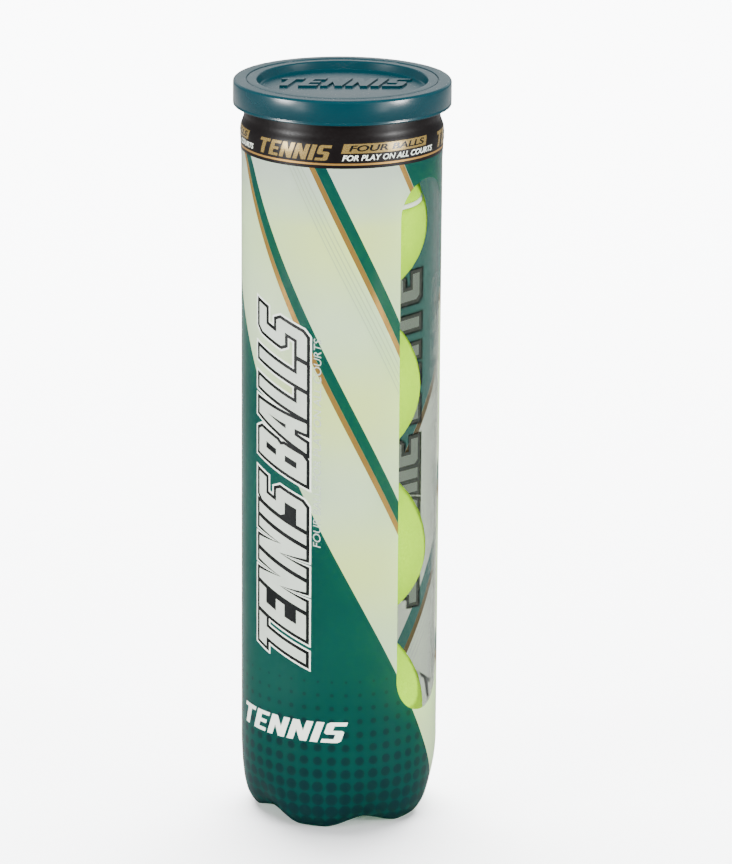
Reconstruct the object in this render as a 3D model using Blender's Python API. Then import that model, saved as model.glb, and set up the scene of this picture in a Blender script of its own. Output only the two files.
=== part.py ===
"""Tennis ball can, as an assembly of separate pieces.

A blow-moulded plastic can stands on five petal feet. A printed shrink sleeve covers it, an
aluminium ring-pull end is seamed to its neck, and an overcap snaps over that seam. Four
tennis balls stand in it. Each ball is two rubber half shells, two dog-bone felt panels and
the rubber seam between them.

Frame: metres, +Z up along the can's axis, origin on the floor under that axis. The front is
-Y. An angle round the can is measured from the front and grows towards +X.
"""

import math

import bmesh
import bpy
from mathutils import Vector

MM = 0.001

# Driving dimensions
TOTAL_HEIGHT = 296.0 * MM
CAN_RADIUS = 38.4 * MM  # outside of the plastic wall
CAN_WALL = 0.6 * MM
NECK_RADIUS = 37.5 * MM  # where the end is seamed on
BALL_RADIUS = 33.0 * MM
FEET = 5
GAP = 0.3 * MM  # between pieces that touch on the real object

CAP_SHEET = 1.5 * MM
SEAM_TOP = TOTAL_HEIGHT - CAP_SHEET - GAP
PANEL_HEIGHT = SEAM_TOP - 6.0 * MM  # middle of the tear panel's sheet

CAN_STEPS = 40  # facets round the can, eight to each foot
TURN_STEPS = 36  # facets round the end and the overcap
BALL_STEPS = 12


# ---------------------------------------------------------------- helpers


def clear_scene():
    for obj in list(bpy.data.objects):
        bpy.data.objects.remove(obj)


def material(name, colour, roughness, metallic=0.0, alpha=1.0):
    made = bpy.data.materials.new(name)
    made.use_nodes = True
    shader = made.node_tree.nodes["Principled BSDF"]
    shader.inputs["Base Color"].default_value = (*colour, 1.0)
    shader.inputs["Roughness"].default_value = roughness
    shader.inputs["Metallic"].default_value = metallic
    shader.inputs["Alpha"].default_value = alpha
    return made


def face_outwards(bm):
    """Turn all faces away from the axis, on an open sheet as well as on a closed body."""
    bmesh.ops.recalc_face_normals(bm, faces=bm.faces)
    if sum(f.calc_area() * f.normal.dot(f.calc_center_median()) for f in bm.faces) < 0:
        bmesh.ops.reverse_faces(bm, faces=bm.faces)
    bm.normal_update()


def mesh_from(name, bm, finish):
    """A mesh from bm, with outward normals, smooth shading and sharp edges over 35 degrees."""
    face_outwards(bm)
    mesh = bpy.data.meshes.new(name)
    bm.to_mesh(mesh)
    bm.free()
    mesh.shade_smooth()
    mesh.set_sharp_from_angle(angle=math.radians(35))
    mesh.materials.append(finish)
    return mesh


def place(name, data, parent=None, location=(0, 0, 0), turn=(0, 0, 0)):
    """A new object with this data, at location and turned by turn (degrees) under parent."""
    obj = bpy.data.objects.new(name, data)
    bpy.context.scene.collection.objects.link(obj)
    obj.parent = parent
    obj.location = location
    obj.rotation_euler = [math.radians(a) for a in turn]
    return obj


def revolved(outline, steps):
    """A bmesh of the closed (radius, height) outline turned once round Z."""
    bm = bmesh.new()
    corners = [bm.verts.new((r, 0, z)) for r, z in outline]
    edges = [bm.edges.new(pair) for pair in zip(corners, corners[1:] + corners[:1])]
    bmesh.ops.spin(
        bm,
        geom=corners + edges,
        cent=(0, 0, 0),
        axis=(0, 0, 1),
        angle=math.tau,
        steps=steps,
        use_merge=True,
    )
    bmesh.ops.remove_doubles(bm, verts=bm.verts, dist=0.001 * MM)
    return bm


def lofted(rings):
    """A bmesh skin over closed rings of points. A ring of equal points closes to a pole."""
    bm = bmesh.new()
    rows = [[bm.verts.new(p) for p in ring] for ring in rings]
    for low, high in zip(rows, rows[1:]):
        for i in range(len(low)):
            j = (i + 1) % len(low)
            bm.faces.new((low[i], low[j], high[j], high[i]))
    bmesh.ops.remove_doubles(bm, verts=bm.verts, dist=0.001 * MM)
    bmesh.ops.dissolve_degenerate(bm, edges=bm.edges, dist=0.001 * MM)
    return bm


def sheet_outline(path, thickness):
    """The closed outline of a sheet of this thickness whose middle runs along path."""
    path = [Vector(p) for p in path]
    left, right = [], []
    for i, here in enumerate(path):
        before = (here - path[i - 1]).normalized() if i else None
        after = (path[i + 1] - here).normalized() if i + 1 < len(path) else None
        along = ((before or after) + (after or before)).normalized()
        across = Vector((-along.y, along.x))
        square = Vector((-(before or after).y, (before or after).x))
        reach = thickness / 2 / max(across.dot(square), 0.5)
        # A sheet that starts on the axis keeps its end there.
        if here.x < GAP:
            across, reach = Vector((0, 1)), thickness / 2
        left.append(here + across * reach)
        right.append(here - across * reach)
    return left + right[::-1]


def arc(centre, radius, start, end, steps):
    """Points along an arc in the (radius, height) plane, angles in degrees."""
    angles = [math.radians(start + (end - start) * i / steps) for i in range(steps + 1)]
    return [(centre[0] + radius * math.cos(a), centre[1] + radius * math.sin(a)) for a in angles]


def measured_from(level, points):
    """Points given as (radius, height above level) in millimetres, in metres above the floor."""
    return [(r * MM, level + h * MM) for r, h in points]


def solidify(obj, thickness, offset):
    wall = obj.modifiers.new("Wall", "SOLIDIFY")
    wall.thickness = thickness
    wall.offset = offset
    wall.use_even_offset = True
    wall.use_rim = True


# ---------------------------------------------------------------- can body

# The two profiles of the base, from the middle out: over a foot, and along the valley
# between two feet, (radius, height) in millimetres. Both meet the round wall.
FOOT_PROFILE = [
    (0.0, 7.6), (9.0, 7.1), (17.0, 3.4), (22.0, 0.6), (24.0, 0.0), (30.0, 0.0),
    (32.4, 0.8), (34.3, 2.8), (36.2, 6.4), (37.75, 15.0),
]
VALLEY_PROFILE = [
    (0.0, 7.6), (9.0, 7.2), (17.0, 5.4), (22.0, 4.4), (24.5, 4.0), (28.8, 3.9),
    (30.8, 4.4), (32.4, 5.8), (34.5, 9.0), (37.35, 18.0),
]
BASE_TOP = 27.0 * MM
FOOT_FLAT = 9.5  # degrees each side of a foot's middle that stay on the foot profile
FOOT_ANGLE = -18.0  # degrees from the front to the middle of the first foot

# The wall swells a little under the overcap, then draws in to the neck. The neck's top edge
# turns outwards and down, as the hook that the end is seamed over.
SWELL_RADIUS = CAN_RADIUS + 0.25 * MM
WALL = [(CAN_RADIUS, BASE_TOP), (CAN_RADIUS, SEAM_TOP - 28.7 * MM)]
WALL += [(SWELL_RADIUS, SEAM_TOP - 24.2 * MM), (SWELL_RADIUS, SEAM_TOP - 16.2 * MM)]
WALL += [(NECK_RADIUS, SEAM_TOP - 12.7 * MM), (NECK_RADIUS, SEAM_TOP - 2.2 * MM)]
HOOK = measured_from(SEAM_TOP, [(37.8, -1.9), (38.2, -1.9), (38.3, -2.1), (38.3, -2.3)])


def foot_share(angle):
    """1 over a foot, 0 in the middle of a valley, and smooth in between. Angle in degrees."""
    pitch = 360.0 / FEET
    off = abs((angle - FOOT_ANGLE + pitch / 2) % pitch - pitch / 2)
    t = min(max((off - FOOT_FLAT) / (pitch / 2 - FOOT_FLAT), 0.0), 1.0)
    return 1.0 - t * t * (3.0 - 2.0 * t)


def can_rings():
    """Rings of points over the outside of the can, from the middle of the base to the hook."""
    angles = [FOOT_ANGLE + 360.0 * i / CAN_STEPS for i in range(CAN_STEPS)]
    shares = [foot_share(a) for a in angles]
    rings = []
    for foot, valley in zip(FOOT_PROFILE, VALLEY_PROFILE):
        rings.append([
            [(s * f + (1 - s) * v) * MM for f, v in zip(foot, valley)] for s in shares
        ])
    rings += [[level] * CAN_STEPS for level in WALL + HOOK]
    return [
        [
            Vector((r * math.sin(math.radians(a)), -r * math.cos(math.radians(a)), z))
            for (r, z), a in zip(ring, angles)
        ]
        for ring in rings
    ]


def make_can(finish):
    can = place("can_body", mesh_from("can_body", lofted(can_rings()), finish))
    solidify(can, CAN_WALL, -1)
    return can


# ---------------------------------------------------------------- shrink sleeve

SLEEVE_FILM = 0.3 * MM
SLEEVE_GAP = 0.25 * MM
SLEEVE_FIRST_RING = 6  # on the feet's outer slope, clear of the floor
SLEEVE_TOP = SEAM_TOP - 3.6 * MM  # under the seam


def make_sleeve(finish):
    """A tube of film over the can's outside, from the feet's outer slope to under the seam."""
    rings = can_rings()[SLEEVE_FIRST_RING : len(FOOT_PROFILE) + len(WALL)]
    rings[-1] = [Vector((p.x, p.y, SLEEVE_TOP)) for p in rings[-1]]
    bm = lofted(rings)
    face_outwards(bm)
    # The film's inner face stands off the plastic by the gap.
    for v in bm.verts:
        v.co += v.normal * SLEEVE_GAP
    sleeve = place("shrink_sleeve", mesh_from("shrink_sleeve", bm, finish))
    solidify(sleeve, SLEEVE_FILM, 1)
    return sleeve


# ---------------------------------------------------------------- ring-pull end

END_SHEET = 0.3 * MM
APERTURE_RADIUS = 35.35 * MM  # edge left standing once the panel is torn out
PANEL_EDGE = APERTURE_RADIUS - GAP


def make_end_ring(finish):
    """The part of the end that stays on the can: lip, countersink, chuck wall and double seam."""
    lip = [(APERTURE_RADIUS / MM, -6.0), (35.5, -6.0), (35.6, -6.9), (35.85, -7.2)]
    chuck_wall = [(36.1, -6.8), (36.2, -5.2), (36.4, -1.0)]
    seam = arc((37.15, -0.9), 0.75, 150, 95, 1) + arc((38.65, -0.9), 0.75, 85, 0, 2)
    end_hook = arc((39.1, -2.55), 0.3, 0, -90, 2)
    path = measured_from(SEAM_TOP, lip + chuck_wall + seam + end_hook)
    bm = revolved(sheet_outline(path, END_SHEET), TURN_STEPS)
    return place("end_seam_ring", mesh_from("end_seam_ring", bm, finish))


def make_sealant(finish):
    """The sealing compound that lies in the seam, over the can's hook."""
    section = [(37.0, -1.0), (38.6, -1.0), (38.6, -0.65), (37.0, -0.65)]
    bm = revolved(measured_from(SEAM_TOP, section), TURN_STEPS)
    return place("seam_sealant", mesh_from("seam_sealant", bm, finish))


# The tab lies with its nose towards the back. Its hinge line is at the nose.
HINGE_Y = 32.7 * MM
HINGE_Z = PANEL_HEIGHT + 1.35 * MM
RIVET_BACK = 6.0 * MM  # from the hinge line to the rivet
RIVET_RADIUS = 1.6 * MM
RIVET_HEAD_RADIUS = 2.9 * MM
RIVET_STEPS = 16
WELL_RADIUS = 20.0  # millimetres, finger well in the middle of the panel
TAB_THICKNESS = 1.6 * MM
TONGUE_THICKNESS = 0.4 * MM


def make_rivet():
    """The rivet that is drawn up from the panel, as a helper that is joined to it."""
    section = [
        (0.0, -0.05), (RIVET_RADIUS / MM, -0.05), (RIVET_RADIUS / MM, 1.2),
        (RIVET_HEAD_RADIUS / MM, 1.2), (RIVET_HEAD_RADIUS / MM - 0.4, 1.7), (0.0, 1.8),
    ]
    bm = revolved(measured_from(PANEL_HEIGHT, section), RIVET_STEPS)
    bmesh.ops.recalc_face_normals(bm, faces=bm.faces)
    mesh = bpy.data.meshes.new("rivet_shape")
    bm.to_mesh(mesh)
    bm.free()
    rivet = place("rivet_shape", mesh, None, (0, HINGE_Y - RIVET_BACK, 0))
    rivet.hide_render = True
    rivet.display_type = "WIRE"
    return rivet


def make_tear_panel(finish):
    """The panel inside the score line, with its finger well and its own rivet."""
    well = [(0.0, -0.6), (WELL_RADIUS, -0.6), (WELL_RADIUS + 1.0, 0.0)]
    edge_bead = [(33.1, 0.0), (33.6, -0.3), (34.2, -0.3), (34.6, 0.0), (PANEL_EDGE / MM, 0.0)]
    path = measured_from(PANEL_HEIGHT, well + edge_bead)
    bm = revolved(sheet_outline(path, END_SHEET), TURN_STEPS)
    panel = place("tear_panel", mesh_from("tear_panel", bm, finish))
    join = panel.modifiers.new("Rivet", "BOOLEAN")
    join.operation = "UNION"
    join.object = make_rivet()
    return panel


def spline_loop(curve, points):
    spline = curve.splines.new("POLY")
    spline.points.add(len(points) - 1)
    for point, (x, y) in zip(spline.points, points):
        point.co = (x, y, 0, 1)
    spline.use_cyclic_u = True


def plate(name, outlines, thickness, edge, finish):
    """A flat plate with rounded edges: the first outline is its rim and the rest are holes."""
    curve = bpy.data.curves.new(name, "CURVE")
    curve.dimensions = "2D"
    curve.fill_mode = "BOTH"
    curve.extrude = thickness / 2 - edge
    curve.bevel_depth = edge
    curve.bevel_resolution = 1
    curve.materials.append(finish)
    for outline in outlines:
        spline_loop(curve, outline)
    return curve


def circle(centre_y, radius, start=0.0, end=360.0, steps=16):
    """Points of an arc round (0, centre_y). A full turn leaves out its last point."""
    count = steps if end - start >= 360.0 else steps + 1
    angles = [math.radians(start + (end - start) * i / steps) for i in range(count)]
    return [(radius * math.cos(a), centre_y + radius * math.sin(a)) for a in angles]


def rounded_box(x0, y0, x1, y1, radius, steps=2):
    """A rectangle's outline with round corners, anticlockwise."""
    corners = [(x1, y1, 0), (x0, y1, 90), (x0, y0, 180), (x1, y0, 270)]
    outline = []
    for x, y, start in corners:
        cx = x - math.copysign(radius, x)
        cy = y - radius if y == y1 else y + radius
        for i in range(steps + 1):
            a = math.radians(start + 90.0 * i / steps)
            outline.append((cx + radius * math.cos(a), cy + radius * math.sin(a)))
    return outline


def make_tab(finish, hinge):
    """The lever: a nose, a finger ring, and a window round the tongue that holds it."""
    edge = 0.6 * MM
    nose_radius, ring_radius = 7.0 * MM - edge, 9.6 * MM - edge
    nose_y, ring_y = -6.2 * MM, -15.6 * MM
    # The straight sides are tangent to the nose and to the finger ring.
    lean = math.degrees(math.asin((ring_radius - nose_radius) / (nose_y - ring_y)))
    rim = circle(nose_y, nose_radius, lean, 180 - lean, 8)
    rim += circle(ring_y, ring_radius, 180 - lean, 360 + lean, 12)
    finger_hole = circle(-16.9 * MM, 5.3 * MM + edge, steps=14)
    window = rounded_box(-4.5 * MM, -10.1 * MM, 4.5 * MM, -1.9 * MM, 1.6 * MM)
    curve = plate("pull_tab", [rim, finger_hole, window], TAB_THICKNESS, edge, finish)
    return place("pull_tab", curve, hinge)


def make_tongue(finish):
    """The tab's tongue, held flat under the rivet's head."""
    edge = 0.1 * MM
    outline = rounded_box(-3.2 * MM, -8.6 * MM, 3.2 * MM, -3.2 * MM, 1.2 * MM)
    hole = circle(-RIVET_BACK, RIVET_RADIUS + GAP + edge, steps=12)
    curve = plate("tab_tongue", [outline, hole], TONGUE_THICKNESS, edge, finish)
    height = PANEL_HEIGHT + END_SHEET / 2 + GAP + TONGUE_THICKNESS / 2
    return place("tab_tongue", curve, None, (0, HINGE_Y, height))


# ---------------------------------------------------------------- overcap

CAP_RADIUS = 42.2 * MM
CAP_INSIDE = CAP_RADIUS - CAP_SHEET
SKIRT_DEPTH = 9.6  # millimetres
SNAP_BEAD = 0.8  # millimetres, how far the bead stands in under the seam


def make_overcap(finish):
    """A snap lid: skirt with a snap bead, rim over the seam, and a recessed middle."""
    out, inside, sheet = CAP_RADIUS / MM, CAP_INSIDE / MM, CAP_SHEET / MM
    recess = [(0.0, -3.4), (32.2, -3.4), (33.3, -0.5), (33.8, -0.15)]
    rim = [(37.0, -0.15), (37.2, -0.5), (37.4, 0.0)]
    skirt = arc((out - 0.9, -0.9), 0.9, 90, 0, 3)
    skirt += [(out, 0.4 - SKIRT_DEPTH), (out - 0.4, -SKIRT_DEPTH), (inside + 0.3, -SKIRT_DEPTH)]
    bead = [(inside, 0.5 - SKIRT_DEPTH), (inside, -6.4), (inside - SNAP_BEAD, -5.9)]
    bead += [(inside - SNAP_BEAD, -5.4), (inside, -4.9)]
    under = [(inside, -sheet), (35.0, -sheet), (33.5, -4.6), (0.0, -4.6)]
    outline = measured_from(TOTAL_HEIGHT, recess + rim + skirt + bead + under)
    return place("overcap", mesh_from("overcap", revolved(outline, TURN_STEPS), finish))


# ---------------------------------------------------------------- balls

CORE_RADIUS = 29.3 * MM
CORE_WALL = 3.3 * MM
FELT_THICKNESS = 2.8 * MM
SEAM_WIDTH = 1.8 * MM
SEAM_DEPTH = 0.7 * MM  # below the felt's surface
SEAM_POINTS = 24
SPINE_REACH = math.radians(98)  # half length of a felt panel's spine, as an angle

# Each ball leans a little to one side, as balls do in a can that is wider than they are,
# and lies turned its own way: (x, y) in millimetres, then degrees about X, Y and Z. The
# lowest ball is first.
BALL_LEANS = [(0.6, -0.9), (1.1, 1.0), (-1.7, -0.3), (0.4, 0.8)]
BALL_TURNS = [(66, -42, -103), (73, 42, 48), (46, -46, -88), (-86, 73, -42)]
FIRST_BALL_HEIGHT = 41.5 * MM


def seam_direction(t):
    """The seam's direction from the ball's middle. Its length is 1 for every t."""
    major, minor = 0.75, 0.25
    return Vector((
        major * math.cos(t) + minor * math.cos(3 * t),
        major * math.sin(t) - minor * math.sin(3 * t),
        2 * math.sqrt(major * minor) * math.sin(2 * t),
    ))


def beside_seam(t, offset):
    """The seam's direction at t, moved sideways by offset over the ball's surface."""
    here = seam_direction(t)
    ahead = seam_direction(t + 0.001) - seam_direction(t - 0.001)
    sideways = here.cross(ahead).normalized()
    return (here + sideways * (offset / BALL_RADIUS)).normalized()


def spine_direction(t):
    """A point on the panel's spine, which runs over the +Z pole from lobe to lobe."""
    along = SPINE_REACH * math.cos(t + math.pi / 4)
    lobe = Vector((1, -1, 0)).normalized()
    return Vector((0, 0, 1)) * math.cos(along) + lobe * math.sin(along)


def felt_mesh(finish):
    """One dog-bone panel: its outer face from the spine out, then its inner face back in."""
    turns = [math.tau * i / SEAM_POINTS for i in range(SEAM_POINTS)]
    side = SEAM_WIDTH / 2 + GAP
    if beside_seam(0.25 * math.pi, side).z < beside_seam(0.25 * math.pi, -side).z:
        side = -side
    shares = (0.0, 0.33, 0.67, 1.0)
    levels = [(share, BALL_RADIUS) for share in shares]
    levels += [(share, BALL_RADIUS - FELT_THICKNESS) for share in reversed(shares)]
    rings = [
        [spine_direction(t).slerp(beside_seam(t, side), share) * radius for t in turns]
        for share, radius in levels
    ]
    return mesh_from("felt_panel", lofted(rings), finish)


def seam_mesh(finish):
    """The rubber line between the panels, as a closed band that follows the seam."""
    turns = [math.tau * i / SEAM_POINTS for i in range(SEAM_POINTS)]
    half = SEAM_WIDTH / 2
    low, high = BALL_RADIUS - FELT_THICKNESS, BALL_RADIUS - SEAM_DEPTH
    corners = [(half, low), (half, high), (-half, high), (-half, low), (half, low)]
    rings = [[beside_seam(t, off) * radius for t in turns] for off, radius in corners]
    return mesh_from("seam_band", lofted(rings), finish)


def half_core_mesh(finish):
    """A half shell of the rubber core, its rim just above the ball's middle plane."""
    rim = GAP / 2
    inner = CORE_RADIUS - CORE_WALL
    start_out = math.degrees(math.asin(rim / CORE_RADIUS))
    start_in = math.degrees(math.asin(rim / inner))
    outline = arc((0, 0), CORE_RADIUS, start_out, 90, 3) + arc((0, 0), inner, 90, start_in, 3)
    outline = [(max(r, 0.0), z) for r, z in outline]
    return mesh_from("half_core", revolved(outline, BALL_STEPS), finish)


def make_balls(rubber, felt, cement):
    core, panel, band = half_core_mesh(rubber), felt_mesh(felt), seam_mesh(cement)
    height = FIRST_BALL_HEIGHT
    for number, (lean, turn) in enumerate(zip(BALL_LEANS, BALL_TURNS), start=1):
        here = Vector(lean) * MM
        if number > 1:
            apart = (here - before).length
            height += math.sqrt((2 * BALL_RADIUS + GAP) ** 2 - apart**2)
        before = here
        name = f"ball_{number}"
        middle = place(f"{name}_middle", None, None, (here.x, here.y, height), turn)
        flipped = (180, 0, 0)
        place(f"{name}_core_upper", core, middle)
        place(f"{name}_core_lower", core, middle, turn=flipped)
        for piece, turned in (("felt_a", (0, 0, 0)), ("felt_b", flipped)):
            place(f"{name}_{piece}", panel, middle, turn=turned)
        place(f"{name}_seam", band, middle)


# ---------------------------------------------------------------- assembly


def main():
    clear_scene()
    clear_plastic = material("clear_plastic", (0.86, 0.9, 0.88), 0.08, alpha=0.3)
    sleeve_film = material("sleeve_film", (0.02, 0.3, 0.24), 0.25)
    cap_plastic = material("cap_plastic", (0.0, 0.17, 0.19), 0.3)
    aluminium = material("aluminium", (0.8, 0.8, 0.8), 0.3, metallic=1.0)
    compound = material("sealing_compound", (0.25, 0.25, 0.24), 0.8)
    rubber = material("core_rubber", (0.12, 0.11, 0.1), 0.8)
    felt = material("felt", (0.62, 0.85, 0.05), 0.95)
    cement = material("seam_rubber", (0.75, 0.74, 0.62), 0.7)

    make_can(clear_plastic)
    make_sleeve(sleeve_film)
    make_end_ring(aluminium)
    make_sealant(compound)
    make_tear_panel(aluminium)
    make_tongue(aluminium)
    tab_hinge = place("tab_hinge", None, None, (0, HINGE_Y, HINGE_Z))
    make_tab(aluminium, tab_hinge)
    make_overcap(cap_plastic)
    make_balls(rubber, felt, cement)


main()
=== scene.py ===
import math

import bmesh
import bpy
from mathutils import Euler, Matrix, Quaternion, Vector, noise
from mathutils.geometry import delaunay_2d_cdt


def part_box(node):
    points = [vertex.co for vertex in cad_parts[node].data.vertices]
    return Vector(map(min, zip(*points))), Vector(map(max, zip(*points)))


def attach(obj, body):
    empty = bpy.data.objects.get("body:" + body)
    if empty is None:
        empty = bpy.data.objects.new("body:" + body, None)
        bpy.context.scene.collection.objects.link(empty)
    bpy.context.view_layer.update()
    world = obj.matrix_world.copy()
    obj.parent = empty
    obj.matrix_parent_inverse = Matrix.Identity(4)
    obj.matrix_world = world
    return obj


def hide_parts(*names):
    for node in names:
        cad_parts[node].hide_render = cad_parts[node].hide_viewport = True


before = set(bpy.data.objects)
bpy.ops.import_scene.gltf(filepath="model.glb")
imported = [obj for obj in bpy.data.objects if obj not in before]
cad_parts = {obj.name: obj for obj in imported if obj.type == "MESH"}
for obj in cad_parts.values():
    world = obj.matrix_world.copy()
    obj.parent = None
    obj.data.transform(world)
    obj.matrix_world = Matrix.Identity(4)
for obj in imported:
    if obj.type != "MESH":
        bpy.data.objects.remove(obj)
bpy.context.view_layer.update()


# ------------------------------------------------------------------ camera
# A long lens just under two metres away looks down a little on the can. Its shift puts the can
# left of the frame's middle, and it is rolled by a third of a degree.
CAMERA_DISTANCE = 1.8
CAMERA_ELEVATION = math.radians(16.6)
CAMERA_ROLL = math.radians(0.33)
CAMERA_AIM = Vector((0, 0, 0.150))

camera = bpy.data.objects.new("camera", bpy.data.cameras.new("camera"))
bpy.context.scene.collection.objects.link(camera)
camera.data.lens = 190.4
camera.data.shift_x = 0.0297
camera.data.shift_y = 0.0113
back = Vector((0, -math.cos(CAMERA_ELEVATION), math.sin(CAMERA_ELEVATION)))
camera.location = CAMERA_AIM + back * CAMERA_DISTANCE
camera.rotation_mode = "QUATERNION"
camera.rotation_quaternion = back.to_track_quat("Z", "Y") @ Quaternion((0, 0, 1), CAMERA_ROLL)
bpy.context.scene.camera = camera


# ------------------------------------------------------------------ studio
# A plain pale floor that runs out past the frame. A soft box and a narrow strip stand at each
# side and show as soft upright highlights, and a wide box hangs behind the can. The floor is
# dark to every ray but the camera's, so that it adds no haze to the glossy film.
FLOOR_WHITE = (0.86, 0.87, 0.88)
FLOOR_BOUNCE = (0.022, 0.022, 0.022)
FLOOR_RADIUS = 6.0


def shader_material(name):
    """A new material with its node tree, Principled shader and output."""
    made = bpy.data.materials.new(name)
    made.use_nodes = True
    nodes = made.node_tree.nodes
    return made, nodes, made.node_tree.links, nodes["Principled BSDF"], nodes["Material Output"]


def colour_mix(nodes, links, share, first, second):
    """A socket that goes from first to second with share. Both are colours or sockets."""
    mix = nodes.new("ShaderNodeMix")
    mix.data_type = "RGBA"
    for socket, colour in (("A", first), ("B", second)):
        if isinstance(colour, tuple):
            mix.inputs[socket].default_value = (*colour, 1)
        else:
            links.new(colour, mix.inputs[socket])
    links.new(share, mix.inputs["Factor"])
    return mix.outputs["Result"]


floor_mat, nodes, links, shader, _ = shader_material("studio_floor")
shader.inputs["Roughness"].default_value = 0.75
seen_by = nodes.new("ShaderNodeLightPath").outputs["Is Camera Ray"]
links.new(colour_mix(nodes, links, seen_by, FLOOR_BOUNCE, FLOOR_WHITE),
          shader.inputs["Base Color"])

bm = bmesh.new()
bmesh.ops.create_circle(bm, cap_ends=True, radius=FLOOR_RADIUS, segments=64)
disc = bpy.data.meshes.new("studio_floor")
bm.to_mesh(disc)
bm.free()
disc.materials.append(floor_mat)
floor = bpy.data.objects.new("studio_floor", disc)
bpy.context.scene.collection.objects.link(floor)

floor_only = bpy.data.collections.new("floor_only")
floor_only.objects.link(floor)
not_floor = bpy.data.collections.new("not_floor")
not_floor.objects.link(floor)
not_floor.collection_objects[0].light_linking.link_state = "EXCLUDE"


def soft_box(name, place, aim, width, height, watts):
    """A rectangular area light at place that faces aim. Sizes are in metres."""
    data = bpy.data.lights.new(name, "AREA")
    data.shape = "RECTANGLE"
    data.size, data.size_y = width, height
    data.energy = watts
    lamp = bpy.data.objects.new(name, data)
    bpy.context.scene.collection.objects.link(lamp)
    lamp.location = place
    lamp.rotation_mode = "QUATERNION"
    lamp.rotation_quaternion = (Vector(place) - Vector(aim)).to_track_quat("Z", "Y")
    return lamp


soft_box("left_box", (-1.3, -0.7, 0.34), (0, 0, 0.15), 0.4, 0.68, 48)
soft_box("right_box", (1.3, -0.7, 0.34), (0, 0, 0.15), 0.4, 0.68, 48)
soft_box("left_strip", (-0.45, -0.47, 0.12), (0, 0, 0.12), 0.12, 0.3, 0.45)
soft_box("right_strip", (0.45, -0.47, 0.12), (0, 0, 0.12), 0.12, 0.3, 0.45)
soft_box("back_box", (0, 2.4, 1.0), (0, 0, 0.25), 3.2, 0.9, 6)
# These three fill in from the front, from above, and from behind through the thin print. They
# leave the floor alone, and no gloss mirrors them.
for lamp in (soft_box("front_box", (0, -1.5, 1.0), (0, 0, 0.15), 0.7, 0.3, 34),
             soft_box("top_box", (0, 0.2, 1.8), (0, 0, 0.3), 0.8, 0.8, 50),
             soft_box("glow_box", (0, 1.2, 0.6), (0, 0, 0.15), 0.8, 0.5, 15)):
    lamp.visible_glossy = False
    lamp.light_linking.receiver_collection = not_floor
# These two light the floor alone, so that it stays pale without washing out the can.
for lamp in (soft_box("near_floor_box", (0, 0.8, 1.8), (0, 0.3, 0), 2.6, 1.6, 270),
             soft_box("far_floor_box", (0, 2.8, 2.4), (0, 2.3, 0), 4.0, 2.0, 850)):
    lamp.light_linking.receiver_collection = floor_only

world = bpy.data.worlds.new("studio")
bpy.context.scene.world = world
world.use_nodes = True
sky = world.node_tree.nodes["Background"]
sky.inputs["Color"].default_value = (0.93, 0.96, 1.0, 1)
sky.inputs["Strength"].default_value = 0.28


# ------------------------------------------------------------------ can body
# The can is blow-moulded in clear polyester in one piece. Five petal feet are pressed out of
# a rounded base, and the thin wall swells a little below the neck that the end is seamed on.
MM = 0.001
CAN_WALL = 0.6
FEET = 5
FOOT_ANGLE = math.radians(-18)  # from the front to the middle of the first foot
FOOT_FLAT = math.radians(8)
TURNS = 160  # faces round the can, 32 to each foot

# Half sections of the outside, (radius, height) in millimetres, from the middle of the base
# out: over a foot, and in the valley between two feet. The wall is the same in both.
foot_line = [(0, 7.6), (9, 7.1), (17, 3.4), (22, 0.6), (24, 0), (30, 0)]
foot_line += [(32.4, 0.8), (34.3, 2.8), (36.2, 6.4), (37.75, 15)]
valley_line = [(0, 7.6), (9, 7.2), (17, 5.4), (22, 4.4), (24.5, 4.0), (28.8, 3.9)]
valley_line += [(30.8, 4.4), (32.4, 5.8), (34.5, 9), (37.35, 18)]
wall_line = [(38.4, 27), (38.4, 32), (38.4, 260), (38.4, 265.5), (38.65, 270), (38.65, 278)]
wall_line += [(37.5, 281.5), (37.5, 284), (37.5, 290), (37.5, 291.6)]
wall_line += [(37.8, 292.3), (38.2, 292.3), (38.3, 292.1), (38.3, 291.9)]
WALL_FROM = len(foot_line)
foot_line = [Vector(p) for p in foot_line + wall_line]
valley_line = [Vector(p) for p in valley_line + wall_line]


def along(line, t):
    """The point at t on a smooth curve through the line's points, which lie at 0, 1, 2 ..."""
    i = min(int(t), len(line) - 2)

    def heading(k):
        steps = [line[k] - line[k - 1]] if k else []
        steps += [line[k + 1] - line[k]] if k + 1 < len(line) else []
        return sum((s.normalized() for s in steps), Vector((0, 0))).normalized()

    reach = (line[i + 1] - line[i]).length
    s = t - i
    return (
        line[i] * (1 + 2 * s) * (1 - s) ** 2
        + line[i + 1] * s * s * (3 - 2 * s)
        + heading(i) * reach * s * (1 - s) ** 2
        - heading(i + 1) * reach * s * s * (1 - s)
    )


def foot_share(azimuth):
    """1 over a foot, 0 in a valley, and smooth in between."""
    pitch = math.tau / FEET
    off = abs((azimuth - FOOT_ANGLE + pitch / 2) % pitch - pitch / 2)
    t = min(max((off - FOOT_FLAT) / (pitch / 2 - FOOT_FLAT), 0), 1)
    return 1 - t * t * (3 - 2 * t)


def skin_point(t, azimuth, inset):
    """A point on the can at t along its section, inset millimetres inside its outer face."""
    share = foot_share(azimuth)

    def outside(at):
        return along(foot_line, at) * share + along(valley_line, at) * (1 - share)

    here = outside(t)
    way = outside(min(t + 0.01, len(foot_line) - 1)) - outside(max(t - 0.01, 0))
    inward = Vector((-way.y, way.x)).normalized()
    radius, height = here + inward * inset
    height = max(height, inset)  # the pads are flat on the floor
    return Vector((radius * math.sin(azimuth), -radius * math.cos(azimuth), height)) * MM


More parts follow.
